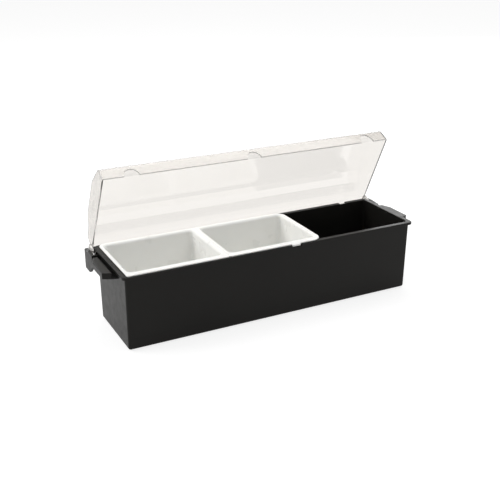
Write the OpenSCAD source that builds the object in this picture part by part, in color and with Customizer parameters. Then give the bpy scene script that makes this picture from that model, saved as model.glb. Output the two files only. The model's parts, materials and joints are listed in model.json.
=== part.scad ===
// Condiment caddy: a long black tub on rubber feet, two white drop-in inserts, and one clear
// domed lid hinged along the back. Millimetres. X runs along the tub, the front faces -Y, +Z is
// up, and the origin is on the table, at the middle of the length and of the depth over the open
// lid. The third bay is left open.

/* [Tub] */
// Length of the wall at the top
tub_l = 481; // [476:1:484]
// Width of the wall at the top
tub_w = 126; // [120:1:130]
// Height from the underside to the top of the rim
tub_h = 115.4; // [105:0.2:125]
// Thickness of the walls
tub_wall = 3; // [2:0.1:4]
// Thickness of the floor
tub_floor = 4; // [3.5:0.1:6]
// How far the front and back walls lean in from the top to the bottom
tub_draft = 1.9; // [0.5:0.1:2.5]
// Length over the rim
rim_l = 490; // [489:0.5:490.5]
// Width over the rim
rim_w = 136; // [135:0.5:137]
// Height of the rim's outer edge
rim_t = 4; // [3:0.1:5]
// Width of the finger notches in the rim
notch_w = 16; // [10:1:20]
// Middle of the front notch, from the middle of the tub
notch_front_x = 28.2; // [20:0.1:40]
// Middle of the back notch, from the middle of the tub
notch_back_x = 195; // [150:1:200]

/* [Grip ledges] */
// How far each ledge reaches out from the middle of the tub
ledge_x = 262; // [258:0.5:266]
// Drop from the top of the rim to the top of the ledge
ledge_drop = 4; // [3:0.5:6]
// Height of the ledge's skirt
ledge_t = 9; // [6:0.5:10]
// Width of the groove between the rim and the ledge
groove_w = 3.8; // [3:0.1:4.5]

/* [Inserts] */
// Length of the insert's flange
flange_l = 156.6; // [150:0.1:156.8]
// Width of the insert's flange
flange_w = 131; // [127:0.5:133]
// Thickness of the insert's flange
flange_t = 2; // [1.6:0.1:2.4]
// Length of the cup under the flange
cup_l = 146; // [140:0.5:148]
// Width of the cup under the flange
cup_w = 112.9; // [108:0.1:113]
// Depth of the cup under the flange
cup_h = 90; // [70:1:100]
// Thickness of the cup's walls
cup_wall = 1.8; // [1.4:0.1:2.4]
// How far the cup sits behind the middle of its flange
cup_back = 2.85; // [2:0.05:2.9]
// Radius of the flange's corners
flange_r = 3; // [2:0.5:6]
// Radius of the flange's corner beside the left hinge
flange_back_r = 10; // [8:1:14]
// Radius of the flange's corners beside the open bay
flange_open_r = 16; // [8:1:16]

/* [Lid] */
// Angle that the lid is shown open
lid_open = 63.4; // [0:0.2:100]
// Half length of the lid at its hinge edge
lid_half = 245; // [244:0.5:245.5]
// Distance from the lid's line of rest at the back to its front edge
lid_d = 133.5; // [132:0.5:135]
// Height of the front skirt
skirt_h = 22.3; // [21:0.1:23]
// Height of the dome
dome_h = 39; // [38:0.5:42]
// Height of the low shelf along the hinge
shelf_h = 25; // [24:0.5:26]
// Thickness of the clear plastic
lid_wall = 2.2; // [1.8:0.1:2.6]
// Radius of the rounding between the skirt and the dome
brow_r = 7; // [3:0.5:7]
// Width of the spoon notches at the edge of the skirt
spoon_w = 23; // [18:0.5:26]

/* [Hinge] */
// Distance of the hinge axis behind the middle of the tub
hinge_y = 66.2; // [66:0.1:66.6]
// Drop from the top of the rim to the hinge axis
hinge_drop = 5.8; // [5.6:0.1:6]
// Radius of the pins
pin_r = 1.75; // [1.5:0.05:1.9]
// Running clearance of the lid's ears round the pins, on the radius
pin_fit = 0.05; // [0.02:0.01:0.1]

/* [Feet] */
// Radius of the rubber feet
foot_r = 9; // [7:0.5:11]
// How far the feet stand proud of the underside
foot_out = 1.5; // [1:0.1:2]
// Depth of the feet's seats in the underside
foot_seat = 1.5; // [1:0.1:2]

/* [Hidden] */
$fn = 64;
eps = 0.01;

rim_z = foot_out + tub_h;              // top of the rim
hinge_z = rim_z - hinge_drop;          // hinge axis
bay = flange_l + 0.2;                  // from one insert to the next
middle_x = -3.2;                       // middle of the middle insert
lid_gap = 0.3;                         // between the rim and the closed lid
lid_up = hinge_drop + lid_gap;         // lid's lower edge above the hinge axis, when closed
lid_fwd = 3.43;                        // lid's line of rest ahead of the hinge axis
lid_taper = 0.03;                      // ends draw in towards the front
lid_draft = 0.02;                      // ends draw in towards the top
edge_r = 2.5;                          // rounding of the lid's outer edges
spoon_x = [-197, -2, 203];             // middles of the spoon notches
spoon_h = [13, 13.5, 17];              // heights of the spoon notches
cheek_in = 251;                        // inner face of each hinge cheek
cheek_out = 255;                       // outer face of each hinge cheek
ear_in = rim_l / 2 + 0.8;              // inner face of the lid's ears
ear_out = ear_in + 3.6;                // outer face of the lid's ears
foot_x = 215;
foot_y = 42;
mid_y = 13.2;                          // middle of the depth over the open lid

// The lid's side outline, as [forward, up] from its line of rest, in two convex lumps
dome = [[13.6, -6], [lid_d, -6], [lid_d, skirt_h], [lid_d - 37.1, dome_h], [33, dome_h - 0.5],
        [23.4, 35], [13.6, shelf_h + 2.8]];
dome_r = [edge_r, edge_r, brow_r, edge_r, edge_r, edge_r, edge_r];
shelf = [[-8, -6], [26, -6], [26, shelf_h + 4.6], [-5, shelf_h], [-8, shelf_h - 8]];
shelf_r = [edge_r, edge_r, edge_r, edge_r, edge_r];

// The hinge cheek's side outline, as [Y, Z below the rim's top]
cheek = [[42, -4.6], [42, -22.2], [58.2, -37.2], [79.5, -37.2], [79.5, -6.6], [72.5, -3], [60.5, -3]];
cheek_web = [[42, -4.6], [42, -22.2], [45.5, -22.2], [45.5, -4.3]];
cheek_stop = [[70, -35], [79.5, -35], [79.5, -12.6], [70, -12.6]];

// Half of a grip ledge's plan, as [X, Y], from the wall's face outwards
ledge = [[238, -36], [248.5, -34], [ledge_x, -27], [ledge_x, 18], [256, 33], [238, 37]];

function unit(v) = v / norm(v);

// Corner i of a closed, anticlockwise outline, moved inwards by r, square to both its edges
function inner_corner(p, i, r) =
    let (n = len(p), a = unit(p[i] - p[(i + n - 1) % n]), b = unit(p[(i + 1) % n] - p[i]),
         na = [-a.y, a.x], nb = [-b.y, b.x])
        p[i] + r * (na + nb) / (1 + na * nb);

// The same outline with all its corners moved inwards by r
function inset(p, r) = [for (i = [0:len(p) - 1]) inner_corner(p, i, r)];

// Half length of the lid at a point of its side outline
function half_at(p) = lid_half - lid_taper * p.x - lid_draft * p.y;

// Pieces are drawn round the middle of the tub, and moved to the middle of the whole depth
module placed() {
    translate([0, -mid_y, 0])
        children();
}

// A rectangle with round corners
module rounded_rect(l, w, r) {
    square([l - 2 * r, w], center = true);
    square([l, w - 2 * r], center = true);
    for (sx = [-1, 1], sy = [-1, 1])
        translate([sx * (l / 2 - r), sy * (w / 2 - r)])
            circle(r = r);
}

// A box with round corners and a rounded lower edge, whose ends lean in by dx and sides by dy
module drafted_box(l, w, h, r, edge, dx, dy) {
    hull()
        for (sx = [-1, 1], sy = [-1, 1]) {
            translate([sx * (l / 2 - r), sy * (w / 2 - r), h - eps])
                cylinder(r = r, h = eps, $fn = 32);
            for (a = [0:22.5:90])
                translate([sx * (l / 2 - dx - r), sy * (w / 2 - dy - r), edge * (1 - cos(a))])
                    cylinder(r = r - edge + edge * sin(a), h = eps, $fn = 32);
        }
}

// A flat plate with a side outline in [Y, Z], from x0 to x1
module side_plate(outline, x0, x1) {
    translate([x0, 0, 0])
        rotate([90, 0, 90])
            linear_extrude(x1 - x0)
                polygon(outline);
}

// Both ends: the right one as given, the left one mirrored
module both_ends() {
    children();
    mirror([1, 0, 0])
        children();
}

// Rim: a flat flange with a turned-down outer edge, hollow underneath
module rim() {
    difference() {
        translate([0, 0, -rim_t])
            linear_extrude(rim_t)
                rounded_rect(rim_l, rim_w, 8);
        translate([0, 0, -rim_t - 1])
            linear_extrude(rim_t - 1.4)
                difference() {
                    rounded_rect(rim_l - 4, rim_w - 4, 6);
                    rounded_rect(tub_l - 1, tub_w - 1, 3.5);
                }
    }
}

// Grip ledge at the right end: a hollow shelf with a groove between it and the rim
module grip_ledge() {
    top = -ledge_drop;
    difference() {
        translate([0, 0, top - ledge_t])
            linear_extrude(ledge_t)
                polygon(ledge);
        translate([tub_l / 2, -50, top - ledge_t + 2.5])
            cube([(rim_l - tub_l) / 2 + groove_w, 100, ledge_t]);
        translate([0, 0, top - ledge_t - 1])
            linear_extrude(ledge_t - 2)
                intersection() {
                    polygon(inset(ledge, 2.5));
                    translate([rim_l / 2 + groove_w + 2.5, -50])
                        square([30, 100]);
                }
    }
}

// Hinge bracket at the right end: an outer cheek on a web, a block behind the pin that stops the
// lid when it is 100 degrees open, and an inner boss under the rim
module hinge_bracket() {
    side_plate(cheek, cheek_in, cheek_out);
    side_plate(cheek_web, tub_l / 2 - 2, cheek_in + 1);
    side_plate(cheek_stop, rim_l / 2 + 0.5, cheek_in + 1);
    translate([tub_l / 2 - 2.5, 56, -15])
        cube([(rim_l - tub_l) / 2 + 2.5, 8, 13]);
    translate([tub_l / 2 - 2.5, hinge_y, -hinge_drop])
        rotate([0, 90, 0])
            cylinder(r = 5, h = (rim_l - tub_l) / 2 + 2.5);
}

module tub() {
    color("#1c1b19")
        difference() {
            union() {
                translate([0, 0, foot_out])
                    drafted_box(tub_l, tub_w, tub_h, 4, 3.5, 0.3, tub_draft);
                translate([0, 0, rim_z])
                    rim();
                translate([0, 0, rim_z])
                    both_ends()
                        grip_ledge();
                translate([0, 0, rim_z])
                    both_ends()
                        hinge_bracket();
            }
            // inside
            translate([0, 0, foot_out + tub_floor])
                drafted_box(tub_l - 2 * tub_wall, tub_w - 2 * tub_wall, tub_h - tub_floor + 0.1,
                            5, 4, 0.3, tub_draft);
            // finger notches in the rim
            translate([notch_front_x - notch_w / 2, -rim_w / 2 - 1, rim_z - rim_t - 1])
                cube([notch_w, 4.5, rim_t + 2]);
            translate([notch_back_x - notch_w / 2 + 1.5, rim_w / 2 - 6, rim_z - rim_t - 1])
                cube([notch_w - 3, 7, rim_t + 2]);
            // seats of the feet
            for (sx = [-1, 1], sy = [-1, 1])
                translate([sx * foot_x, sy * foot_y, 0])
                    cylinder(r = foot_r + 0.1, h = foot_out + foot_seat);
            // seats of the pins
            for (side = [-1, 1])
                translate([side * (tub_l / 2 - 0.5), hinge_y, hinge_z])
                    rotate([0, side * 90, 0])
                        cylinder(r = pin_r + 0.02, h = 20);
        }
}

// One lump of the lid, convex, at a depth under its outer face, with a radius for each corner
module lid_lump(outline, radii, depth) {
    hull()
        for (i = [0:len(outline) - 1], side = [-1, 1])
            let (p = inner_corner(outline, i, radii[i]))
                translate([side * (half_at(p) - radii[i]), -p.x, p.y])
                    sphere(r = radii[i] - depth, $fn = 24);
}

// The clear shell, as [X, -forward, up] from its line of rest
module lid_shell() {
    difference() {
        union() {
            lid_lump(dome, dome_r, 0);
            lid_lump(shelf, shelf_r, 0);
        }
        lid_lump(dome, dome_r, lid_wall);
        lid_lump(shelf, shelf_r, lid_wall);
        // flat lower edge, a little higher along the back wall
        translate([-300, -200, -20])
            cube([600, 300, 20]);
        translate([-lid_half + 6, 5, -1])
            cube([2 * lid_half - 12, 4, 2]);
        // spoon notches in the front skirt
        for (i = [0:len(spoon_x) - 1])
            translate([spoon_x[i], -lid_d + 5, 0])
                rotate([90, 0, 0])
                    linear_extrude(8)
                        spoon_notch(spoon_h[i]);
    }
}

// Outline of a spoon notch: half an ellipse
module spoon_notch(h) {
    polygon(concat([[-spoon_w / 2, -1], [spoon_w / 2, -1]],
                   [for (a = [0:7.5:180]) [spoon_w / 2 * cos(a), h * sin(a)]]));
}

// Hinge ear at the right end, round the hinge axis, with a foot on the lid's end wall
module lid_ear() {
    ear = [[-4.6, -2], [4.6, -2], [4.6, lid_up + 3.5], [-4.6, lid_up + 3.5]];
    foot = [[-4.6, lid_up], [4.6, lid_up], [4.6, lid_up + 3.5], [-4.6, lid_up + 3.5]];
    translate([ear_in, 0, 0])
        rotate([0, 90, 0])
            cylinder(r = 5, h = ear_out - ear_in);
    mirror([0, 1, 0]) {
        side_plate(ear, ear_in, ear_out);
        side_plate(foot, lid_half - 1.8, ear_out);
    }
}

module lid() {
    color("#dfe6e8", 0.35)
        translate([0, hinge_y, hinge_z])
            rotate([-lid_open, 0, 0])
                difference() {
                    union() {
                        translate([0, -lid_fwd, lid_up])
                            lid_shell();
                        both_ends()
                            lid_ear();
                    }
                    for (side = [-1, 1])
                        translate([side * (ear_in - 1), 0, 0])
                            rotate([0, side * 90, 0])
                                cylinder(r = pin_r + pin_fit, h = 8);
                }
}

// A drop-in insert that hangs on the tub's rim by its flange, whose back left corner has radius
// back and whose right corners have radius r
module insert(back, r) {
    difference() {
        union() {
            linear_extrude(flange_t)
                hull() {
                    translate([flange_r - flange_l / 2, flange_r - flange_w / 2])
                        circle(r = flange_r);
                    translate([back - flange_l / 2, flange_w / 2 - back])
                        circle(r = back);
                    for (sy = [-1, 1])
                        translate([flange_l / 2 - r, sy * (flange_w / 2 - r)])
                            circle(r = r);
                }
            translate([0, cup_back, -cup_h])
                drafted_box(cup_l, cup_w, cup_h + 0.5, 8, 7.5, 4, 4);
        }
        translate([0, cup_back, cup_wall - cup_h])
            drafted_box(cup_l - 2 * cup_wall, cup_w - 2 * cup_wall, cup_h + flange_t + 1,
                        6.2, 6, 4, 4);
    }
}

module insert_left() {
    color("#f1f1ee")
        translate([middle_x - bay, 0, rim_z])
            insert(flange_back_r, flange_r);
}

// The middle insert has a finger tab that drops into the rim's front notch
module insert_middle() {
    color("#f1f1ee") {
        translate([middle_x, 0, rim_z])
            insert(flange_r, flange_open_r);
        translate([notch_front_x - notch_w / 2 + 1, -rim_w / 2, rim_z - 1.8])
            cube([notch_w - 2, 3.2, 2.8]);
    }
}

// A plain steel pin through the cheek and the ear into the inner boss
module hinge_pin(side) {
    color("#b9bcbd")
        translate([side * tub_l / 2, hinge_y, hinge_z])
            rotate([0, side * 90, 0])
                cylinder(r = pin_r, h = cheek_out - tub_l / 2 - 0.1);
}

module foot(sx, sy) {
    color("#2a2a2a")
        translate([sx * foot_x, sy * foot_y, 0])
            cylinder(r = foot_r, h = foot_out + foot_seat);
}

placed() tub();
placed() lid();
placed() insert_left();
placed() insert_middle();
placed() hinge_pin(-1);  // hinge_pin_left
placed() hinge_pin(1);  // hinge_pin_right
placed() foot(-1, -1);  // foot_front_left
placed() foot(1, -1);  // foot_front_right
placed() foot(-1, 1);  // foot_back_left
placed() foot(1, 1);  // foot_back_right
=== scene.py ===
"""A bar-top condiment caddy: a long black tub, two white drop-in inserts and one clear flip lid.

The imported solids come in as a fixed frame, in metres: X along the tub, the front faces -Y, Z up. Each
operator below makes one piece or one group of like pieces round that frame. Sizes in the formulas are in
millimetres, and add_piece turns them into metres.
"""

import json
import math

import bmesh
import bpy
import numpy as np
from bpy.props import FloatProperty, FloatVectorProperty, PointerProperty
from bpy.types import Operator, Panel, PropertyGroup
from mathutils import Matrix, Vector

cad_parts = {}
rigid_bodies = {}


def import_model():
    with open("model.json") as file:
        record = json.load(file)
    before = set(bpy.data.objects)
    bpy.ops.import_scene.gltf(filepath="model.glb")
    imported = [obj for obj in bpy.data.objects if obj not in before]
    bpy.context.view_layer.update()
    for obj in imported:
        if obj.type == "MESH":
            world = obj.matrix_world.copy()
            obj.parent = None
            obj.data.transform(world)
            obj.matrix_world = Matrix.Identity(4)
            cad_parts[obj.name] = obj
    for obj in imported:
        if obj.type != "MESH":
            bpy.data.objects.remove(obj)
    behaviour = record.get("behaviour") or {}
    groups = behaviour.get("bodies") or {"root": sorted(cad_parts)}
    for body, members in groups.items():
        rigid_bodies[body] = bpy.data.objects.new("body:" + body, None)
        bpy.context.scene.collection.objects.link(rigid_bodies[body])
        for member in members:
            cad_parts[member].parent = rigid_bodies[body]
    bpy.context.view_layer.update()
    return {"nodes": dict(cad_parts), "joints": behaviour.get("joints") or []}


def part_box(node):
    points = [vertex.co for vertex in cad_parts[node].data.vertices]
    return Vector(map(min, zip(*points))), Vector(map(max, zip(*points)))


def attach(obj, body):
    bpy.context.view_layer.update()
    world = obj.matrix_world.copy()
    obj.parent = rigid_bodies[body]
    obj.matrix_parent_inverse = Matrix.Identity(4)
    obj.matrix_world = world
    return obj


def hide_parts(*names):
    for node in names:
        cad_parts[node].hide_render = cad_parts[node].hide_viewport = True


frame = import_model()

bl_info = {
    "name": "Condiment caddy",
    "version": (1, 0, 0),
    "blender": (4, 5, 0),
    "location": "View3D > Sidebar > Caddy",
    "description": "Builds a condiment caddy with drop-in inserts and a clear flip lid",
    "category": "Add Mesh",
}

MM = 0.001

TUB_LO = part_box("tub")[0]
LIFT = 1.5                                        # the feet stand this proud of the underside
RIM_Z = 116.9                                     # top of the rim
MID_Y = TUB_LO.y / MM + 68.0                      # middle of the tub's width
HINGE = next(j for j in frame["joints"] if j["name"] == "lid_hinge")
AXIS_Y, AXIS_Z = (v / MM for v in HINGE["pos_m"][1:])
LID_OPEN = math.radians(63.4)                     # how far the lid stands open at rest


def linear(code):
    """An sRGB hex colour in linear light: c / 12.92 up to 0.04045, else ((c + 0.055) / 1.055) ^ 2.4."""
    c = np.array([int(code[i:i + 2], 16) for i in (1, 3, 5)]) / 255.0
    return tuple(float(x) for x in np.where(c <= 0.04045, c / 12.92, ((c + 0.055) / 1.055) ** 2.4))


# ---------------------------------------------------------------- surfaces

def arc(centre, radius, start, end, steps):
    """Points on a circle from angle start to angle end, in degrees: centre + radius (cos, sin)."""
    t = np.radians(np.linspace(start, end, steps + 1))
    return np.stack([centre[0] + radius * np.cos(t), centre[1] + radius * np.sin(t)], 1)


def rect_stations(front_x, back_x, steps=10):
    """Stations round a rectangle with round corners, anticlockwise from the front left corner.

    Each row is (sx, x0, sy, y0, nx, ny). On a ring with half sizes a and b and corner radius r the
    station lies at x = sx (a - r) + x0 + r nx and y = sy (b - r) + y0 + r ny.
    """
    def corner(sx, sy, start):
        n = arc((0, 0), 1, start, start + 90, steps)
        k = np.ones(len(n))
        return np.stack([sx * k, 0 * k, sy * k, 0 * k, n[:, 0], n[:, 1]], 1)

    def side(xs, sy):
        xs = np.asarray(xs, float)
        k = np.ones(len(xs))
        return np.stack([0 * k, xs, sy * k, 0 * k, 0 * k, sy * k], 1)

    return np.concatenate([
        corner(-1, -1, 180), side(np.sort(front_x), -1), corner(1, -1, 270),
        corner(1, 1, 0), side(np.sort(back_x)[::-1], 1), corner(-1, 1, 90)])


def rect_rings(stations, rows):
    """One ring for each row (a, b, r, z, c, q, w), as an array of rows by stations by (x, y, z).

    c moves the ring back, and q and w are the radii of its right corners and its back left one. Rows of
    four have c = 0 and q = w = r.
    """
    rows = np.asarray(rows, float)
    if rows.shape[1] == 4:
        rows = np.column_stack([rows, 0 * rows[:, 0], rows[:, 2], rows[:, 2]])
    sx, x0, sy, y0, nx, ny = stations.T
    a, b, r, z, c, q, w = (rows[:, i:i + 1] for i in range(7))
    r = np.where(sx > 0, q, np.where(sy > 0, w, r))
    x = sx * (a - r) + x0 + r * nx
    y = sy * (b - r) + c + y0 + r * ny
    return np.stack([x, y, z + 0 * x], 2)


def outline_rings(outline, rows, radius, steps=5):
    """Rings inside a closed, anticlockwise outline, one for each row (inset, height).

    At a corner that turns outwards, the ring is centre + (radius - inset) n, with n turning from one
    side's normal to the next. At one that turns inwards it is centre - (radius + inset) n.
    """
    p = np.asarray(outline, float)
    ahead = np.roll(p, -1, 0) - p
    ahead /= np.linalg.norm(ahead, axis=1)[:, None]
    n1 = np.stack([ahead[:, 1], -ahead[:, 0]], 1)
    n0 = np.roll(n1, 1, 0)
    turn = np.arctan2(n0[:, 0] * n1[:, 1] - n0[:, 1] * n1[:, 0], (n0 * n1).sum(1))
    pull = (n0 + n1) / (1 + (n0 * n1).sum(1))[:, None]
    t = np.linspace(0, 1, steps + 1)
    angle = np.arctan2(n0[:, 1], n0[:, 0])[:, None] + turn[:, None] * t
    n = np.stack([np.cos(angle), np.sin(angle)], 2)
    inset = np.array([row[0] for row in rows], float)[:, None, None, None]
    height = np.array([row[1] for row in rows], float)[:, None, None, None]
    out = (turn > 0)[None, :, None, None]
    reach = np.where(out, np.maximum(radius - inset, 0.02), radius + inset)
    centre = p[None, :, None, :] - np.where(out, inset + reach, inset - reach) * pull[None, :, None, :]
    ring = centre + np.where(out, reach, -reach) * n[None]
    ring = np.concatenate([ring, height + 0 * ring[..., :1]], 3)
    return ring.reshape(len(rows), -1, 3)


def bored_rings(outline, bore, rows, count=72, soft=60):
    """Rings of a plate with a round bore at (0, 0), one for each row (inset, hole, height).

    hole is the ring's radius as a multiple of bore, or None on the plate's edge. At angle t the edge
    lies at the soft least of d / cos(t - f) over the sides, where d is a side's distance and f its
    normal's angle: (sum of (cos / d) ^ soft) ^ (-1 / soft). That rounds the corners.
    """
    p = np.asarray(outline, float)
    side = np.roll(p, -1, 0) - p
    n = np.stack([side[:, 1], -side[:, 0]], 1) / np.linalg.norm(side, axis=1)[:, None]
    dist = (n * p).sum(1)
    corners = np.arctan2(p[:, 1], p[:, 0])
    t = np.unique(np.concatenate([np.linspace(-math.pi, math.pi, count, endpoint=False), corners]))
    t = t[np.append(np.diff(t) > 0.01, True)]
    towards = np.stack([np.cos(t), np.sin(t)], 1)
    lean = np.maximum(towards @ n.T, 1e-6)
    rings = []
    for inset, hole, height in rows:
        if hole is None:
            reach = ((lean / (dist - inset)) ** soft).sum(1) ** (-1 / soft)
        else:
            reach = np.full(len(t), hole * bore)
        rings.append(np.concatenate([towards * reach[:, None], np.full((len(t), 1), height)], 1))
    return np.array(rings)


def skin(rings, caps=True, hoop=False):
    """Quads between neighbouring rings, each ring closed. caps fills the first and last ring, and hoop
    joins the last ring to the first."""
    m, n = rings.shape[:2]
    i, j = np.meshgrid(np.arange(m if hoop else m - 1), np.arange(n), indexing="ij")
    up, on = (i + 1) % m, (j + 1) % n
    quads = np.stack([i * n + j, i * n + on, up * n + on, up * n + j], 2).reshape(-1, 4).tolist()
    if caps and not hoop:
        quads += [list(range(n))[::-1], list(range((m - 1) * n, m * n))]
    return rings.reshape(-1, 3), quads


def turned(part, order=(0, 1, 2), shift=(0, 0, 0), mirror=False):
    """The same part with its axes in another order, moved, and mirrored in X if asked."""
    points = part[0][:, list(order)] + np.array(shift, float)
    if mirror:
        points = points * (-1, 1, 1)
    return points, part[1]


def lathe(profile, centre, axis, steps=48):
    """A profile of (radius, height) carried round an axis through centre: (r cos t, r sin t, h)."""
    t = np.linspace(0, 2 * math.pi, steps, endpoint=False)
    r, h = np.asarray(profile, float).T[:, :, None]
    rings = np.stack([r * np.cos(t), r * np.sin(t), h + 0 * t], 2)
    order = {"Z": (0, 1, 2), "X": (2, 0, 1)}[axis]
    return turned(skin(rings), order, centre)


def add_piece(name, parts, material, body, node=None, sharp=38.0):
    """A mesh object from its parts, each (points in mm, faces), at the origin and riding on its body."""
    points, faces, first = [], [], 0
    for p, f in parts:
        points.append(p)
        faces += [[k + first for k in face] for face in f]
        first += len(p)
    mesh = bpy.data.meshes.new(name)
    mesh.from_pydata((np.concatenate(points) * MM).tolist(), [], faces)
    bm = bmesh.new()
    bm.from_mesh(mesh)
    bmesh.ops.remove_doubles(bm, verts=bm.verts, dist=1e-6)
    bmesh.ops.dissolve_degenerate(bm, edges=bm.edges, dist=1e-7)
    bmesh.ops.recalc_face_normals(bm, faces=bm.faces)
    bm.to_mesh(mesh)
    bm.free()
    mesh.shade_smooth()
    mesh.set_sharp_from_angle(angle=math.radians(sharp))
    mesh.materials.append(material)
    obj = bpy.data.objects.new(name, mesh)
    bpy.context.scene.collection.objects.link(obj)
    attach(obj, body)
    if node:
        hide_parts(node)
    return obj


def even_shading(obj):
    """Keeps the flats flat beside small roundings, by weighting normals with the faces' areas."""
    mod = obj.modifiers.new("Even shading", "WEIGHTED_NORMAL")
    mod.weight = 100
    mod.keep_sharp = True


# --------------------------------------------------------------- materials

def add(tree, kind, settings=None, **sockets):
    """Adds a node with its settings. A socket takes another node's output as a link, else a value."""
    n = tree.nodes.new(kind)
    for key, value in (settings or {}).items():
        setattr(n, key, value)
    for key, value in sockets.items():
        key = int(key[1:]) if key[0] == "_" else key.replace("_", " ")
        if isinstance(value, bpy.types.NodeSocket):
            tree.links.new(value, n.inputs[key])
        else:
            n.inputs[key].default_value = value
    return n


def new_material(name):
    """An empty node material and its tree."""
    mat = bpy.data.materials.new(name)
    mat.use_nodes = True
    mat.node_tree.nodes.clear()
    return mat, mat.node_tree


def black_abs(colour):
    """Black ABS, injection moulded in a spark-eroded mould: near black, with a satin grain that swallows
    most of the mirrored light and leaves a low, broad sheen."""
    mat, t = new_material("Black moulded ABS")
    place = add(t, "ShaderNodeTexCoord").outputs["Object"]
    # The real grain is about 0.15 mm; it is drawn at 0.6 mm, so that it shows close up
    grain = add(t, "ShaderNodeTexNoise", Vector=place, Scale=1 / 0.0006, Detail=3.0)
    # Flow marks of the moulding, about 90 mm apart
    flow = add(t, "ShaderNodeTexNoise", Vector=place, Scale=1 / 0.09, Detail=2.0, Roughness=0.4)
    # Handling rub, about 12 mm patches
    rub = add(t, "ShaderNodeTexNoise", Vector=place, Scale=1 / 0.012, Detail=5.0, Roughness=0.6)
    dark = add(t, "ShaderNodeMix", {"data_type": "RGBA"}, Factor=flow.outputs["Fac"])
    dark.inputs["A"].default_value = (*(0.85 * c for c in colour), 1)
    dark.inputs["B"].default_value = (*(1.2 * c for c in colour), 1)
    rough = add(t, "ShaderNodeMapRange", Value=rub.outputs["Fac"], _1=0.3, _2=0.7, _3=0.33, _4=0.43)
    bump = add(t, "ShaderNodeBump", Height=grain.outputs["Fac"], Strength=0.12, Distance=0.0001)
    look = add(t, "ShaderNodeBsdfPrincipled", Base_Color=dark.outputs["Result"],
               Roughness=rough.outputs["Result"], IOR=1.5, Specular_IOR_Level=0.13,
               Normal=bump.outputs["Normal"])
    add(t, "ShaderNodeOutputMaterial", Surface=look.outputs["BSDF"])
    return mat


def clear_polycarbonate(tint):
    """Clear polycarbonate, polished and then dulled a little by wiping: it bends light strongly, mirrors
    at grazing angles and has faint waves from the mould's flow."""
    mat, t = new_material("Clear polycarbonate")
    place = add(t, "ShaderNodeTexCoord").outputs["Object"]
    # Flow waves, about 60 mm apart along the lid and 20 mm apart across it
    stretch = add(t, "ShaderNodeMapping", Vector=place, Scale=(1.0, 3.0, 3.0))
    waves = add(t, "ShaderNodeTexNoise", Vector=stretch.outputs["Vector"], Scale=1 / 0.06, Detail=1.0)
    bump = add(t, "ShaderNodeBump", Height=waves.outputs["Fac"], Strength=0.25, Distance=0.0006)
    # Fine haze of wiping, about 8 mm patches
    wipe = add(t, "ShaderNodeTexNoise", Vector=place, Scale=1 / 0.008, Detail=4.0)
    haze = add(t, "ShaderNodeMapRange", Value=wipe.outputs["Fac"], _1=0.3, _2=0.7, _3=0.08, _4=0.14)
    # Where the lid is frosted, it scatters light and lets less of it straight through
    frost = add(t, "ShaderNodeAttribute", {"attribute_name": "frost"})
    rough = add(t, "ShaderNodeMix", {"data_type": "FLOAT"}, Factor=frost.outputs["Fac"],
                A=haze.outputs["Result"], B=0.5)
    clear = add(t, "ShaderNodeMix", {"data_type": "FLOAT"}, Factor=frost.outputs["Fac"], A=1.0, B=0.3)
    look = add(t, "ShaderNodeBsdfPrincipled", Base_Color=(*tint, 1), Roughness=rough.outputs["Result"],
               IOR=1.58, Transmission_Weight=clear.outputs["Result"], Normal=bump.outputs["Normal"])
    # Shadow rays pass almost unhindered, as light does through a thin clear sheet
    through = add(t, "ShaderNodeBsdfTransparent", Color=(0.95, 0.95, 0.95, 1))
    rays = add(t, "ShaderNodeLightPath")
    mix = add(t, "ShaderNodeMixShader", _0=rays.outputs["Is Shadow Ray"], _1=look.outputs["BSDF"],
              _2=through.outputs["BSDF"])
    add(t, "ShaderNodeOutputMaterial", Surface=mix.outputs["Shader"])
    return mat


def white_polypropylene(colour):
    """White food-grade polypropylene, moulded: glossy, a little waxy, and light soaks a short way in."""
    mat, t = new_material("White polypropylene")
    place = add(t, "ShaderNodeTexCoord").outputs["Object"]
    # Faint sink and flow marks, about 25 mm apart
    flow = add(t, "ShaderNodeTexNoise", Vector=place, Scale=1 / 0.025, Detail=2.0)
    # Fine moulded skin, about 0.8 mm
    fine = add(t, "ShaderNodeTexNoise", Vector=place, Scale=1 / 0.0008, Detail=2.0)
    tone = add(t, "ShaderNodeMix", {"data_type": "RGBA"}, Factor=flow.outputs["Fac"])
    tone.inputs["A"].default_value = (*(0.97 * c for c in colour), 1)
    tone.inputs["B"].default_value = (*(min(1.0, 1.02 * c) for c in colour), 1)
    rough = add(t, "ShaderNodeMapRange", Value=flow.outputs["Fac"], _1=0.3, _2=0.7, _3=0.26, _4=0.34)
    bump = add(t, "ShaderNodeBump", Height=fine.outputs["Fac"], Strength=0.05, Distance=0.0001)
    look = add(t, "ShaderNodeBsdfPrincipled", Base_Color=tone.outputs["Result"],
               Roughness=rough.outputs["Result"], IOR=1.49, Subsurface_Weight=0.12,
               Subsurface_Radius=(1.0, 0.9, 0.8), Subsurface_Scale=0.002,
               Normal=bump.outputs["Normal"])
    add(t, "ShaderNodeOutputMaterial", Surface=look.outputs["BSDF"])
    return mat


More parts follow.
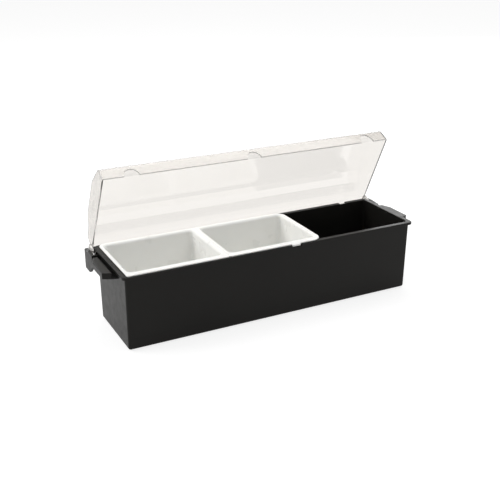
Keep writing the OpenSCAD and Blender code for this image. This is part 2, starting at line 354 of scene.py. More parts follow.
def stainless_steel(colour):
    """Stainless steel rod, centreless ground: fine rings round the rod and a soft, pale mirror."""
    mat, t = new_material("Ground stainless steel")
    place = add(t, "ShaderNodeTexCoord").outputs["Object"]
    # Grinding rings, about 0.25 mm apart along the rod
    rings = add(t, "ShaderNodeTexWave", {"bands_direction": "X"}, Vector=place,
                Scale=1 / 0.00025 / 20, Distortion=1.5, Detail=2.0)
    rough = add(t, "ShaderNodeMapRange", Value=rings.outputs["Fac"], _3=0.22, _4=0.34)
    bump = add(t, "ShaderNodeBump", Height=rings.outputs["Fac"], Strength=0.08, Distance=0.00005)
    look = add(t, "ShaderNodeBsdfPrincipled", Base_Color=(*colour, 1), Metallic=1.0,
               Roughness=rough.outputs["Result"], Normal=bump.outputs["Normal"])
    add(t, "ShaderNodeOutputMaterial", Surface=look.outputs["BSDF"])
    return mat


def black_rubber(colour):
    """Black moulded rubber: dull, with a fine dusty bloom."""
    mat, t = new_material("Moulded black rubber")
    place = add(t, "ShaderNodeTexCoord").outputs["Object"]
    # Bloom in patches of about 3 mm
    bloom = add(t, "ShaderNodeTexNoise", Vector=place, Scale=1 / 0.003, Detail=4.0)
    tone = add(t, "ShaderNodeMix", {"data_type": "RGBA"}, Factor=bloom.outputs["Fac"])
    tone.inputs["A"].default_value = (*colour, 1)
    tone.inputs["B"].default_value = (*(1.7 * c for c in colour), 1)
    rough = add(t, "ShaderNodeMapRange", Value=bloom.outputs["Fac"], _3=0.7, _4=0.9)
    bump = add(t, "ShaderNodeBump", Height=bloom.outputs["Fac"], Strength=0.2, Distance=0.0002)
    look = add(t, "ShaderNodeBsdfPrincipled", Base_Color=tone.outputs["Result"], IOR=1.52,
               Roughness=rough.outputs["Result"], Normal=bump.outputs["Normal"])
    add(t, "ShaderNodeOutputMaterial", Surface=look.outputs["BSDF"])
    return mat


def seen_rays(tree):
    """1 for the rays that the camera sees by: straight, through the clear lid, or mirrored."""
    rays = add(tree, "ShaderNodeLightPath")
    direct = add(tree, "ShaderNodeMath", {"operation": "MAXIMUM"}, _0=rays.outputs["Is Camera Ray"],
                 _1=rays.outputs["Is Transmission Ray"])
    return add(tree, "ShaderNodeMath", {"operation": "MAXIMUM"}, _0=direct.outputs[0],
               _1=rays.outputs["Is Glossy Ray"]).outputs[0]


def white_sweep(colour):
    """Matt white paper sweep. The rays that the camera sees by meet a dim sheet that takes the object's
    soft shadow, with a glow that lifts it to white. All others meet plain paper."""
    mat, t = new_material("White paper sweep")
    paper = add(t, "ShaderNodeBsdfDiffuse", Color=(*colour, 1), Roughness=0.6)
    shadow = add(t, "ShaderNodeBsdfDiffuse", Color=(0.42, 0.42, 0.42, 1), Roughness=0.6)
    glow = add(t, "ShaderNodeEmission", Color=(1, 1, 1, 1), Strength=0.78)
    lit = add(t, "ShaderNodeAddShader", _0=shadow.outputs["BSDF"], _1=glow.outputs["Emission"])
    mix = add(t, "ShaderNodeMixShader", _0=seen_rays(t), _1=paper.outputs["BSDF"],
              _2=lit.outputs["Shader"])
    add(t, "ShaderNodeOutputMaterial", Surface=mix.outputs["Shader"])
    return mat


# -------------------------------------------------------------------- sizes

def size(name, text, default, least, most):
    """A length in metres that the sidebar shows."""
    return FloatProperty(name=name, description=text, default=default, min=least, max=most,
                         subtype="DISTANCE", unit="LENGTH", precision=4)


def colour(name, text, code):
    """A colour that the sidebar shows, from its sRGB hex value."""
    return FloatVectorProperty(name=name, description=text, default=linear(code), min=0, max=1,
                               size=3, subtype="COLOR")


class CaddyTubSizes(PropertyGroup):
    length: size("Length", "Length of the wall at the top", 0.481, 0.476, 0.484)
    width: size("Width", "Width of the wall at the top", 0.126, 0.12, 0.13)
    rim_length: size("Rim length", "Length over the rim", 0.49, 0.489, 0.4905)
    rim_width: size("Rim width", "Width over the rim", 0.136, 0.135, 0.137)
    wall: size("Wall", "Thickness of the walls", 0.003, 0.002, 0.004)
    floor: size("Floor", "Thickness of the floor", 0.004, 0.003, 0.006)
    colour: colour("Colour", "Colour of the black plastic", "#1b1a18")


class CaddyInsertSizes(PropertyGroup):
    flange_length: size("Flange length", "Length over the flange", 0.1566, 0.15, 0.1568)
    flange_width: size("Flange width", "Width over the flange", 0.131, 0.127, 0.133)
    cup_length: size("Cup length", "Length of the cup under the flange", 0.146, 0.14, 0.148)
    cup_width: size("Cup width", "Width of the cup under the flange", 0.1129, 0.108, 0.113)
    depth: size("Depth", "Depth of the cup under the flange", 0.09, 0.07, 0.1)
    colour: colour("Colour", "Colour of the white plastic", "#f2f2ef")


class CaddyLidSizes(PropertyGroup):
    half_length: size("Half length", "Half length of the lid at its hinge edge", 0.245, 0.244, 0.2455)
    wall: size("Wall", "Thickness of the clear plastic", 0.0022, 0.0018, 0.0026)
    edge: size("Edge radius", "Rounding of the outer edges", 0.0025, 0.002, 0.004)
    tint: colour("Tint", "Tint of the clear plastic", "#e4e1dd")


class CaddyFittingSizes(PropertyGroup):
    pin_radius: size("Pin radius", "Radius of the hinge pins", 0.00175, 0.0015, 0.0019)
    foot_radius: size("Foot radius", "Radius of the rubber feet", 0.009, 0.007, 0.011)
    steel: colour("Steel", "Colour of the pins", "#b9bcbd")
    rubber: colour("Rubber", "Colour of the feet", "#232221")


class CaddyStageSizes(PropertyGroup):
    lens: FloatProperty(name="Lens", description="Focal length for a 36 mm wide sensor", default=59.776,
                        min=20, max=200, subtype="DISTANCE_CAMERA")
    floor_size: size("Floor", "Side of the paper floor", 60.0, 5.0, 100.0)
    paper: colour("Paper", "Colour of the paper floor", "#e6e6e6")


# -------------------------------------------------------------------- tub

class CADDY_OT_tub(Operator):
    """Black tub: one wall that runs from the underside up, over the turned-down rim and inside again"""
    bl_idname = "caddy.tub"
    bl_label = "Tub"

    # the finger notches in the rim: middle, half width, front or back, how far from the middle of the
    # tub the notch reaches in, and how much lower the wall's top is there
    NOTCHES = ((28.2, 8.0, -1, 64.5, 0.0), (195.0, 6.5, 1, 61.2, 0.8))
    SIDE_HALF = 0.3                                  # half width of the step at a notch's side
    STEP = SIDE_HALF * np.array([-1, -0.6, -0.2, 0.2, 0.6, 1])
    RIM_T = 2.4                                      # thickness of the rim
    LIP_LOW = 4.0                                    # the turned-down lip ends this far under the top

    def rows(self, s):
        """Profile rows (a, b, r, z): the half sizes and corner radius of the wall's ring at height z."""
        a, b = s.length / MM / 2, s.width / MM / 2
        ra, rb = s.rim_length / MM / 2, s.rim_width / MM / 2
        wall, floor = s.wall / MM, s.floor / MM
        lean, slope = 0.3, 1.9                       # how far the ends and the sides lean in at the foot
        edge = 3.5                                   # rounding of the lower edge
        corner, inner, outer = 4.0, 5.0, 8.0         # upright corners of the wall, its inside and the rim
        rows = []
        # lower edge: a quarter circle that grows the ring
        for x, z in arc((0, edge), edge, -90, 0, 6):
            rows.append((a - lean - edge + x, b - slope - edge + x, corner - edge + x, LIFT + z))
        # top of the wall: the first row holds it still under the notches
        rows += [(a, b - 0.03, corner, RIM_Z - 5.0), (a, b, corner, RIM_Z - 3.4)]
        # hollow of the rim, and the turned-down lip
        for x, z in arc((1.0, -3.4), 1.0, 180, 90, 4)[1:]:
            rows.append((a + x, b + x, corner + x, RIM_Z + z))
        for x, z in [(2.6, -self.RIM_T), (2.1, -2.55), (2.0, -3.0), (2.0, -3.7), (1.7, -self.LIP_LOW),
                     (0.4, -self.LIP_LOW), (0.1, -3.9), (0.0, -3.6)]:
            rows.append((ra - x, rb - x, outer - x, RIM_Z + z))
        for x, z in arc((-1.2, -1.2), 1.2, 0, 90, 5):
            rows.append((ra + x, rb + x, outer + x, RIM_Z + z))
        # inner edge of the rim, and the inside down to the floor
        for x, z in arc((1.0, -1.0), 1.0, 90, 180, 4):
            rows.append((a - wall + x, b - wall + x, inner + x, RIM_Z + z))
        for x, z in arc((-4.0, 4.0), 4.0, 0, -90, 6):
            rows.append((a - wall - lean + x, b - wall - slope + x, inner + x, LIFT + floor + z))
        return np.array(rows)

    def stations(self, middle, half):
        """Places along one side of the tub: evenly spaced, and close together at its notch's sides."""
        return np.concatenate([np.linspace(-225, 225, 19), middle - half + self.STEP,
                               middle + half + self.STEP])

    def press(self, rings, edge, inside, middle, half, sign, reach, drop):
        """Presses the rim in to one notch's reach and down by its drop, over the notch's width.

        ramp is 1 across the notch and falls to 0 at each side by the smooth step u u (3 - 2 u). What
        was past the reach keeps 0.03 of its depth, and what hung under the rim 0.05 of its height,
        so that no two points meet.
        """
        x, y, z = rings[..., 0], rings[..., 1], rings[..., 2]
        u = np.clip((half + self.SIDE_HALF - np.abs(x - middle)) / (2 * self.SIDE_HALF), 0, 1)
        top = (z > RIM_Z - self.LIP_LOW - 0.9) & (sign * y > inside - 0.1)
        ramp = u * u * (3 - 2 * u) * top
        past = ramp * (sign * y > reach)
        under = RIM_Z - self.RIM_T
        z -= drop * ramp * (z > under + 0.2)
        y += past * sign * (reach - 0.03 * (edge - sign * y) - sign * y)
        z += past * np.where(z < under, 0.95 * (under - z), 0)

    def execute(self, context):
        s = context.scene.caddy_tub
        sides = [self.stations(*notch[:2]) for notch in self.NOTCHES]
        rings = rect_rings(rect_stations(*sides), self.rows(s))
        for notch in self.NOTCHES:
            self.press(rings, s.rim_width / MM / 2, (s.width / 2 - s.wall) / MM, *notch)
        rings[..., 1] += MID_Y
        obj = add_piece("tub_shell", [skin(rings)], black_abs(s.colour), "base", "tub")
        even_shading(obj)
        return {"FINISHED"}


class CADDY_OT_ledges(Operator):
    """Grip ledge at each end: a hollow bar on a low web, with a groove between it and the rim"""
    bl_idname = "caddy.ledges"
    bl_label = "Grip ledges"

    def execute(self, context):
        # the bar and the web from above, and below them the rows (inset, height) up each
        bar = [(248.8, -33.9), (262, -27), (262, 18), (256, 33), (248.8, 34.7)]
        web = [(239.3, -35.7), (248.5, -34), (250.2, -33.2), (250.2, 34.4), (239.3, 36.7)]
        top, low = RIM_Z - 4, RIM_Z - 13             # the bar's top and its lower edge
        rows = [(2.5, low + 6), (2.5, low + 0.3), (2.2, low), (0.4, low), (0.1, low + 0.1), (0, low + 0.4)]
        rows += [(0.9 + x, top + z) for x, z in arc((0, -0.9), 0.9, 180, 90, 4)]
        plate = [(0.4, low), (0.0, low + 0.4), (0.0, low + 2.2), (0.3, low + 2.5)]
        mat = bpy.data.materials["Black moulded ABS"]
        for side, mirror in (("right", False), ("left", True)):
            parts = [turned(skin(outline_rings(bar, rows, 1.5)), shift=(0, MID_Y, 0), mirror=mirror),
                     turned(skin(outline_rings(web, plate, 0.6)), shift=(0, MID_Y, 0), mirror=mirror)]
            even_shading(add_piece(f"grip_ledge_{side}", parts, mat, "base"))
        return {"FINISHED"}


class CADDY_OT_brackets(Operator):
    """Hinge bracket at each end: an outer cheek with the pin's bore, on a web, with the block that
    stops the lid and the boss inside"""
    bl_idname = "caddy.brackets"
    bl_label = "Hinge brackets"

    def execute(self, context):
        y, z = AXIS_Y - MID_Y, AXIS_Z - RIM_Z

        def about_axis(points):
            return [(p - y, q - z) for p, q in points]

        # side outlines as (y, z) from the middle of the rim's top
        cheek = about_axis([(42, -4.6), (42, -22.2), (58.2, -37.2), (79.5, -37.2), (79.5, -6.6), (72.5, -3),
                            (60.5, -3)])
        web = about_axis([(42.3, -5.0), (42.3, -22.0), (45.5, -22.0), (45.5, -4.7)])
        stop = about_axis([(70, -35), (79.2, -35), (79.2, -12.6), (70, -12.6)])
        boss = about_axis([(56, -15), (64, -15), (64, -2.2), (56, -2.2)])
        axle = [(-5, -5), (5, -5), (5, 5), (-5, 5)]  # round the axis itself
        # round the cheek's plate: up its edge, over the outer face, back through the bore
        face = [(0, None, 251.5), (0, None, 254.4), (0.2, None, 254.85), (0.6, None, 255),
                (0, 1.2, 255), (0, 1.0, 254.65), (0, 1.0, 251.3), (0, 1.3, 251), (0.5, None, 251),
                (0.1, None, 251.1)]
        mat = bpy.data.materials["Black moulded ABS"]

        def bar(outline, lo, hi, radius=0.5, soft=0.3):
            rows = [(soft, lo), (0, lo + soft), (0, hi - soft), (soft, hi)]
            return skin(outline_rings(outline, rows, radius))

        for side, mirror in (("right", False), ("left", True)):
            parts = [skin(bored_rings(cheek, 1.77, face), hoop=True), bar(web, 239.5, 252),
                     bar(stop, 245.5, 252), bar(boss, 239.5, 245), bar(axle, 239.5, 245, 4.9)]
            parts = [turned(p, (2, 0, 1), (0, AXIS_Y, AXIS_Z), mirror) for p in parts]
            even_shading(add_piece(f"hinge_bracket_{side}", parts, mat, "base"))
        return {"FINISHED"}


# ----------------------------------------------------------------- inserts

class CADDY_OT_inserts(Operator):
    """White drop-in inserts: a round-cornered cup that hangs on the rim by its flange"""
    bl_idname = "caddy.inserts"
    bl_label = "Inserts"

    CENTRES = {"left": -160.0, "middle": -3.2}
    CUP_BACK = 2.85                                  # the cup sits this far behind the flange's middle
    TAB = (28.2, 7.0)                                # middle and half width of the finger tab
    TAB_OUT, TAB_DOWN = 2.5, 1.8                     # how far the tab stands out and hangs down
    # radii of the flange's corners: front left, both right ones, back left
    CORNERS = {"left": (3.0, 3.0, 10.0), "middle": (3.0, 16.0, 3.0)}

    def rows(self, s, flange_r, open_r, back_r):
        """Profile rows (a, b, r, z, c, q, w), from the underside up, round the flange and down inside.
        The flange's corners have radius flange_r, but its right ones open_r and its back left one
        back_r."""
        a, b = s.cup_length / MM / 2, s.cup_width / MM / 2
        fa, fb = s.flange_length / MM / 2, s.flange_width / MM / 2
        lean, wall, corner = 4.0, 1.8, 8.0           # of the cup: its draft, thickness and corners
        z0 = RIM_Z - s.depth / MM

        def cup(grow, r, z):
            return a + grow, b + grow, r, z, self.CUP_BACK, r, r

        def flange(grow, z):
            return fa + grow, fb + grow, flange_r + grow, z, 0.0, open_r + grow, back_r + grow

        # the cup's lower edge, its wall, the small fillet at its top, and the underside of the flange
        rows = [cup(x - lean - 7.5, x + 0.5, z0 + 7.5 + z) for x, z in arc((0, 0), 7.5, -90, 0, 8)]
        rows += [cup(-0.05, corner, RIM_Z - 1.2), cup(0.3, corner + 0.3, RIM_Z - 0.35),
                 cup(0.9, corner + 0.9, RIM_Z), flange(-0.9, RIM_Z), flange(-0.7, RIM_Z)]
        # the flange's rounded edge, then down into the cup and along its inside
        rows += [flange(x - 0.8, RIM_Z + 0.8 + z) for x, z in arc((0, 0), 0.8, -75, 0, 3)]
        rows += [flange(x - 0.9, RIM_Z + 1.1 + z) for x, z in arc((0, 0), 0.9, 0, 90, 4)]
        rows += [cup(4.5 - wall + x, corner - wall + 4.5 + x, RIM_Z - 2.5 + z)
                 for x, z in arc((0, 0), 4.5, 90, 180, 8)]
        rows += [cup(x - wall - lean - 6, x + 0.2, z0 + wall + 6 + z) for x, z in arc((0, 0), 6, 0, -90, 8)]
        return rows

    def execute(self, context):
        s = context.scene.caddy_insert
        plain = np.linspace(-52, 52, 9)
        step = np.array([-0.5, -0.2, 0.2, 0.5])
        mat = white_polypropylene(s.colour)
        for bay, centre in self.CENTRES.items():
            tab = bay == "middle"
            middle, half = self.TAB[0] - centre, self.TAB[1]
            front = np.concatenate([plain, middle - half + step, middle + half + step]) if tab else plain
            rings = rect_rings(rect_stations(front, plain), self.rows(s, *self.CORNERS[bay]))
            x, y, z = rings[..., 0], rings[..., 1], rings[..., 2]
            if tab:
                # the last 1 mm of the flange's edge grows out into the tab, by a step 1 mm wide
                across = np.clip((half + 0.5 - np.abs(x - middle)), 0, 1)
                edge = s.flange_width / MM / 2
                grow = across * np.clip((-y - (edge - 1.0)) / 0.3, 0, 1)
                y -= self.TAB_OUT * grow
                z -= grow * np.where(z < RIM_Z + 1.0, self.TAB_DOWN, 1.0)
            x += centre
            y += MID_Y
            even_shading(add_piece(f"insert_{bay}_cup", [skin(rings)], mat, f"{bay}_insert",
                                   f"insert_{bay}"))
        return {"FINISHED"}


# --------------------------------------------------------------------- lid

class CADDY_OT_lid(Operator):
    """Clear lid: a domed shell with a low shelf along the hinge, spoon notches in the front skirt and
    an ear at each end"""
    bl_idname = "caddy.lid"
    bl_label = "Lid"

    FRONT = 133.5                                    # front edge, ahead of the line of rest
    SIDE = [(-8, 0.9), (-8, 17), (-5, 25), (13.6, 27.75), (23.4, 35), (33, 38.5), (96.4, 39),
            (FRONT, 22.3), (FRONT, 0)]               # side outline as (forward, up)
    BROW = 7.0                                       # rounding between the dome and the front skirt
    FILLET = 1.5                                     # rounding of the corners that turn inwards
    LEAN_F, LEAN_U = 0.03, 0.02                      # how far the ends lean in, for each mm forward and up
    DOWN = 12                                        # rows down the front skirt
    NOTCHES = ((-197.0, 13.0), (-2.0, 13.5), (203.0, 17.0))   # middle and height
    NOTCH_HALF = 11.5                                # half width of a notch
    FORWARD, UP = 3.43, 6.1                          # line of rest, from the hinge axis
    EARS_FROM = 245.2                                # the ears lie further out from the middle

    def outline(self, edge):
        """Centres and normals along the side outline, for end edges of radius edge.

        A point of the shell at depth d under the outer face is centre + (edge - d) normal. At a corner
        of radius r between the normals m and n, it turns about p - r (m + n) / (1 + m n).
        """
        p = np.array(self.SIDE, float)
        way = np.diff(p, axis=0)
        way /= np.linalg.norm(way, axis=1)[:, None]
        n = np.stack([-way[:, 1], way[:, 0]], 1)
        centre, normal = [(p[0] - edge * n[0])[None]], [n[:1]]
        for i in range(1, len(p) - 1):
            # round this corner, about one step for each 8 degrees
            turn = math.asin(n[i - 1][0] * n[i][1] - n[i - 1][1] * n[i][0])
            r = self.BROW if i == len(p) - 2 else edge if turn < 0 else -self.FILLET
            steps = max(3, int(abs(math.degrees(turn)) / 8))
            angle = math.atan2(n[i - 1][1], n[i - 1][0]) + turn * np.linspace(0, 1, steps + 1)
            around = np.stack([np.cos(angle), np.sin(angle)], 1)
            centre.append(p[i] - r * (n[i - 1] + n[i]) / (1 + n[i - 1] @ n[i]) + (r - edge) * around)
            normal.append(around)
        # rows down the front skirt, so that the notches can shape it
        down = np.linspace(centre[-1][-1, 1], 0, self.DOWN + 1)[1:]
        centre.append(np.stack([np.full(self.DOWN, self.FRONT - edge), down], 1))
        normal.append(np.tile(n[-1], (self.DOWN, 1)))
        return np.concatenate(centre), np.concatenate(normal)

    def skirt_edge(self, x):
        """Height of the front skirt's lower edge at x. Each notch is half an ellipse, so that its edge
        lies at tall sqrt(1 - (off / half) ^ 2)."""
        edge = np.zeros_like(x)
        for middle, tall in self.NOTCHES:
            edge += tall * np.sqrt(np.maximum(1 - ((x - middle) / self.NOTCH_HALF) ** 2, 0))
        return edge

    def stations(self, half):
        """Places across the lid: evenly spaced, and close together at each notch."""
        arch = self.NOTCH_HALF * np.sin(np.radians(np.arange(-90, 91, 7.5)))
        beside = self.NOTCH_HALF + 1
        close = np.concatenate([arch, [-beside, beside]])
        xs = np.concatenate([m + close for m, _ in self.NOTCHES])
        plain = np.linspace(-half + 12, half - 12, 23)
        plain = plain[[min(abs(x - m) for m, _ in self.NOTCHES) > beside + 1.5 for x in plain]]
        return np.sort(np.concatenate([xs, plain]))

    def shell(self, half, edge, depth):
        """One end of the shell's face at a depth under the outer one, as columns (x, forward, up) that run
        along the outline. They go up the flat end wall, round its edge, and into the straight."""
        c, n = self.outline(edge)
        end_x = half - self.LEAN_F * c[:, 0] - self.LEAN_U * c[:, 1]
        r = edge - depth
        rise = np.linspace(0, 1, 9)[:-1]
        foot = np.linspace(0, 1, len(c))
        s_foot = c[0, 0] + (c[-1, 0] - c[0, 0]) * foot
        columns = []
        for t in rise:
            s = s_foot + (c[:, 0] - s_foot) * t
            h = self.SIDE[0][1] * (1 - foot) * (1 - t) + c[:, 1] * t
            columns.append((half - self.LEAN_F * s - self.LEAN_U * h - edge + r, s, h))
        for a in np.radians(np.linspace(90, 0, 7)):
            k = r * math.cos(a)
            columns.append((end_x - edge + r * math.sin(a), c[:, 0] + n[:, 0] * k, c[:, 1] + n[:, 1] * k))
        return columns

    def face(self, half, edge, depth):
        """Left end, straight and right end of one face, as points (x, forward, up)."""
        ends = self.shell(half, edge, depth)
        left = [np.stack([-x, s, h], 1) for x, s, h in ends]
        right = [np.stack([x, s, h], 1) for x, s, h in ends[::-1]]
        _, s, h = ends[-1]
        across = self.stations(half - edge)
        low = self.skirt_edge(across)
        top = self.outline(edge)[0][-self.DOWN - 1, 1]
        middle = []
        for x, lift in zip(across, low):
            on_skirt = (s > self.FRONT - edge) & (h < top)
            up = np.where(on_skirt, lift + h * (top - lift) / top, h)
            middle.append(np.stack([np.full_like(s, x), s, up], 1))
        return np.array(left + middle + right)

    def sheet(self, half, edge, wall):
        """The two faces of the shell, joined all round their lower edge."""
        outer, inner = self.face(half, edge, 0.0), self.face(half, edge, wall)
        m, n = outer.shape[:2]
        i, j = np.meshgrid(np.arange(m - 1), np.arange(n - 1), indexing="ij")
        quads = np.stack([i * n + j, i * n + j + 1, (i + 1) * n + j + 1, (i + 1) * n + j], 2).reshape(-1, 4)
        k = np.arange(m * n).reshape(m, n)
        border = np.concatenate([k[:, 0], k[-1, 1:], k[-2::-1, -1], k[0, -2:0:-1]])
        after = np.roll(border, -1)
        strip = np.stack([border, after, after + m * n, border + m * n], 1)
        faces = np.concatenate([quads, quads[:, ::-1] + m * n, strip]).tolist()
        return np.concatenate([outer.reshape(-1, 3), inner.reshape(-1, 3)]), faces

    def place(self, points):
        """From (x, forward, up) about the line of rest to the open lid in the frame: y = -(s + f) and
        z = h + u about the hinge axis, turned back by the opening angle."""
        y, z = -(points[:, 1] + self.FORWARD), points[:, 2] + self.UP
        c, s = math.cos(LID_OPEN), -math.sin(LID_OPEN)
        return np.stack([points[:, 0], AXIS_Y + y * c - z * s, AXIS_Z + y * s + z * c], 1)

    def mark_frost(self, mesh, wall):
        """A face attribute, frost: 1 on the front skirt's lower edge and in its notches, 0.5 on the ears
        and else 0.

        The edge's faces lie within the wall's thickness of the front, and across it: their normals
        are far from the way forward, which is (0, -cos a, sin a) on a lid that is a open, and from X.
        """
        def values(key):
            flat = np.empty(3 * len(mesh.polygons), "f4")
            mesh.polygons.foreach_get(key, flat)
            return flat.reshape(-1, 3)

        centre, normal = values("center"), values("normal")
        forward = np.array([0, -math.cos(LID_OPEN), math.sin(LID_OPEN)])
        hinge = np.array([0, AXIS_Y, AXIS_Z]) * MM
        near_front = (centre - hinge) @ forward / MM - self.FORWARD > self.FRONT - wall - 0.2
        across = (np.abs(normal @ forward) < 0.8) & (np.abs(normal[:, 0]) < 0.995)
        frost = np.where(near_front & across, 1.0, 0.0)
        frost[np.abs(centre[:, 0]) > self.EARS_FROM * MM] = 0.5
        mesh.attributes.new("frost", "FLOAT", "FACE").data.foreach_set("value", frost.astype("f4"))

    def ear(self):
        """Ear on the hinge axis, as (x, forward, up): a bored plate and its foot on the end wall."""
        plate = [(-4.6, -5.0), (4.6, -5.0), (4.6, 9.6), (-4.6, 9.6)]
        # up the plate's edge, over its outer face, back through the bore
        rows = [(0, None, 245.9), (0, None, 249.2), (0.3, None, 249.4), (0, 1.1, 249.4), (0, 1, 249.2),
                (0, 1, 246.0), (0, 1.1, 245.8), (0.3, None, 245.8)]
        points, faces = skin(bored_rings(plate, 1.8, rows), hoop=True)
        ear = points[:, [2, 0, 1]] - (0, self.FORWARD, self.UP), faces
        foot = [(-4.6, 6.4), (4.6, 6.4), (4.6, 9.6), (-4.6, 9.6)]
        rows = [(0.2, 243.6), (0, 243.8), (0, 249.2), (0.2, 249.4)]
        points, faces = skin(outline_rings(foot, rows, 0.5))
        return [ear, (points[:, [2, 0, 1]] - (0, self.FORWARD, self.UP), faces)]

    def execute(self, context):
        s = context.scene.caddy_lid
        half, edge, wall = s.half_length / MM, s.edge / MM, s.wall / MM
        mat = clear_polycarbonate(s.tint)
        points, faces = self.sheet(half, edge, wall)
        lid = add_piece("lid_shell", [(self.place(points), faces)], mat, "lid", "lid", 50)
        soften = lid.modifiers.new("Lower edge", "BEVEL")
        soften.width, soften.segments, soften.angle_limit = 0.0005, 2, math.radians(60)
        for side in (1, -1):
            for n, (points, faces) in enumerate(self.ear()):
                tool = bpy.data.objects.new(f"ear_{side}_{n}", bpy.data.meshes.new("ear"))
                tool.data.from_pydata((self.place(points * (side, 1, 1)) * MM).tolist(), [], faces)
                bm = bmesh.new()
                bm.from_mesh(tool.data)
                bmesh.ops.recalc_face_normals(bm, faces=bm.faces)
                bm.to_mesh(tool.data)
                bm.free()
                context.scene.collection.objects.link(tool)
                join = lid.modifiers.new("Ear", "BOOLEAN")
                join.operation, join.solver, join.object = "UNION", "EXACT", tool
        finish_modifiers(lid)
        for tool in [o for o in bpy.data.objects if o.name.startswith("ear_")]:
            bpy.data.objects.remove(tool)
        lid.data.set_sharp_from_angle(angle=math.radians(40))
        self.mark_frost(lid.data, wall)
        even_shading(lid)
        return {"FINISHED"}


def finish_modifiers(obj):
    """Puts the modifiers' result into the object's mesh."""
    bpy.context.view_layer.update()
    seen = obj.evaluated_get(bpy.context.evaluated_depsgraph_get())
    mesh = bpy.data.meshes.new_from_object(seen)
    obj.modifiers.clear()
    obj.data = mesh


# ---------------------------------------------------------------- fittings

class CADDY_OT_pins(Operator):
    """Hinge pins: a steel rod with a turned chamfer at each end"""
    bl_idname = "caddy.pins"
    bl_label = "Hinge pins"

    def execute(self, context):
        s = context.scene.caddy_fitting
        r = s.pin_radius / MM
        mat = stainless_steel(s.steel)
        for side, sign in (("left", -1), ("right", 1)):
            profile = [(r - 0.3, 240.5), (r, 240.8), (r, 254.45), (r - 0.12, 254.7), (r - 0.45, 254.85),
                       (r * 0.4, 254.9)]
            part = lathe(profile, (0, AXIS_Y, AXIS_Z), "X")
            name = f"hinge_pin_{side}"
            obj = add_piece(f"{name}_rod", [turned(part, mirror=sign < 0)], mat, "base", name)
            even_shading(obj)
        return {"FINISHED"}


class CADDY_OT_feet(Operator):
    """Rubber feet: a round pad with a soft edge and a shallow cup under it"""
    bl_idname = "caddy.feet"
    bl_label = "Feet"

    def execute(self, context):
        s = context.scene.caddy_fitting
        r = s.foot_radius / MM
        mat = black_rubber(s.rubber)
        profile = [(0.5, 0.5), (r * 0.45, 0.45), (r * 0.7, 0.25), (r - 1.6, 0.0), (r - 0.9, 0.0),
                   (r - 0.35, 0.12), (r - 0.06, 0.5), (r, 1.0), (r, 2.9), (r - 0.1, 3.0)]
        for name in sorted(n for n in frame["nodes"] if n.startswith("foot_")):
            lo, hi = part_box(name)
            middle = ((lo.x + hi.x) / 2 / MM, (lo.y + hi.y) / 2 / MM, 0)
            obj = add_piece(f"{name}_pad", [lathe(profile, middle, "Z")], mat, "base", name)
            even_shading(obj)
        return {"FINISHED"}


# ------------------------------------------------------------------- stage

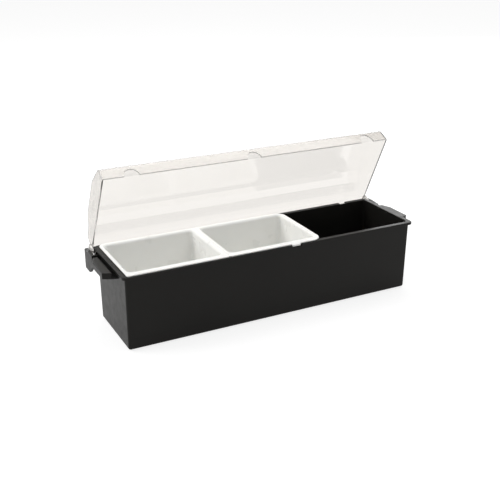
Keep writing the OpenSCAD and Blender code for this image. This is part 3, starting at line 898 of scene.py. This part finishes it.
class CADDY_OT_stage(Operator):
    """Camera at the photograph's angle, a white paper floor and soft studio lamps"""
    bl_idname = "caddy.stage"
    bl_label = "Stage"

    def execute(self, context):
        s = context.scene.caddy_stage
        scene = context.scene
        cam = bpy.data.cameras.new("Camera")
        cam.sensor_width, cam.lens = 36.0, s.lens
        eye = bpy.data.objects.new("Camera", cam)
        # where the photograph's edges fall on the frame's
        eye.location = (-0.5631, -1.0743, 0.5807)
        eye.rotation_euler = (math.radians(67.75), 0, math.radians(-27.28))
        scene.collection.objects.link(eye)
        scene.camera = eye

        h = s.floor_size / 2
        mesh = bpy.data.meshes.new("paper_floor")
        mesh.from_pydata([(-h, -h, 0), (h, -h, 0), (h, h, 0), (-h, h, 0)], [], [(0, 1, 2, 3)])
        mesh.materials.append(white_sweep(s.paper))
        floor = bpy.data.objects.new("paper_floor", mesh)
        scene.collection.objects.link(floor)

        for name, place, target, width, depth, watts in (
                ("Key softbox", (-1.5, 0.9, 1.4), (0, 0, 0.08), 1.4, 1.4, 22.0),
                ("Top softbox", (0.6, 0.4, 1.9), (0, 0, 0), 1.6, 1.2, 17.0),
                ("Back softbox", (0.75, 2.3, 1.05), (0, 0, 0.1), 2.8, 0.8, 26.0)):
            lamp = bpy.data.lights.new(name, "AREA")
            lamp.shape, lamp.size, lamp.size_y, lamp.energy = "RECTANGLE", width, depth, watts
            box = bpy.data.objects.new(name, lamp)
            box.visible_camera = box.visible_transmission = False
            box.location = place
            aim = np.array(target) - np.array(place)
            box.rotation_euler = (math.atan2(math.hypot(aim[0], aim[1]), -aim[2]), 0,
                                  math.atan2(-aim[0], aim[1]))
            scene.collection.objects.link(box)

        world = bpy.data.worlds.new("Studio")
        scene.world = world
        world.use_nodes = True
        t = world.node_tree
        t.nodes.clear()
        room = add(t, "ShaderNodeBackground", Color=(1, 1, 1, 1), Strength=0.4)
        white = add(t, "ShaderNodeBackground", Color=(1, 1, 1, 1), Strength=1.0)
        mix = add(t, "ShaderNodeMixShader", _0=seen_rays(t), _1=room.outputs["Background"],
                  _2=white.outputs["Background"])
        add(t, "ShaderNodeOutputWorld", Surface=mix.outputs["Shader"])
        scene.view_settings.view_transform = "Standard"
        return {"FINISHED"}


class CADDY_PT_panel(Panel):
    """Sidebar panel with every piece's sizes, colours and button"""
    bl_idname = "CADDY_PT_panel"
    bl_label = "Condiment caddy"
    bl_space_type = "VIEW_3D"
    bl_region_type = "UI"
    bl_category = "Caddy"

    def draw(self, context):
        for group, operators in PANEL_ROWS:
            box = self.layout.box()
            sizes = getattr(context.scene, group)
            for key in sizes.bl_rna.properties.keys():
                if key not in ("rna_type", "name"):
                    box.prop(sizes, key)
            for operator in operators:
                box.operator(operator.bl_idname)


PANEL_ROWS = (
    ("caddy_tub", (CADDY_OT_tub, CADDY_OT_ledges, CADDY_OT_brackets)),
    ("caddy_insert", (CADDY_OT_inserts,)),
    ("caddy_lid", (CADDY_OT_lid,)),
    ("caddy_fitting", (CADDY_OT_pins, CADDY_OT_feet)),
    ("caddy_stage", (CADDY_OT_stage,)),
)
GROUPS = {
    "caddy_tub": CaddyTubSizes, "caddy_insert": CaddyInsertSizes, "caddy_lid": CaddyLidSizes,
    "caddy_fitting": CaddyFittingSizes, "caddy_stage": CaddyStageSizes,
}
CLASSES = (*GROUPS.values(), *(op for _, ops in PANEL_ROWS for op in ops), CADDY_PT_panel)


def register():
    for cls in CLASSES:
        bpy.utils.register_class(cls)
    for name, group in GROUPS.items():
        setattr(bpy.types.Scene, name, PointerProperty(type=group))


def unregister():
    for name in GROUPS:
        delattr(bpy.types.Scene, name)
    for cls in reversed(CLASSES):
        bpy.utils.unregister_class(cls)


def main():
    """Makes the whole caddy, piece by piece."""
    register()
    bpy.ops.caddy.stage()
    bpy.ops.caddy.tub()
    bpy.ops.caddy.ledges()
    bpy.ops.caddy.brackets()
    bpy.ops.caddy.inserts()
    bpy.ops.caddy.lid()
    bpy.ops.caddy.pins()
    bpy.ops.caddy.feet()


if __name__ == "__main__":
    main()
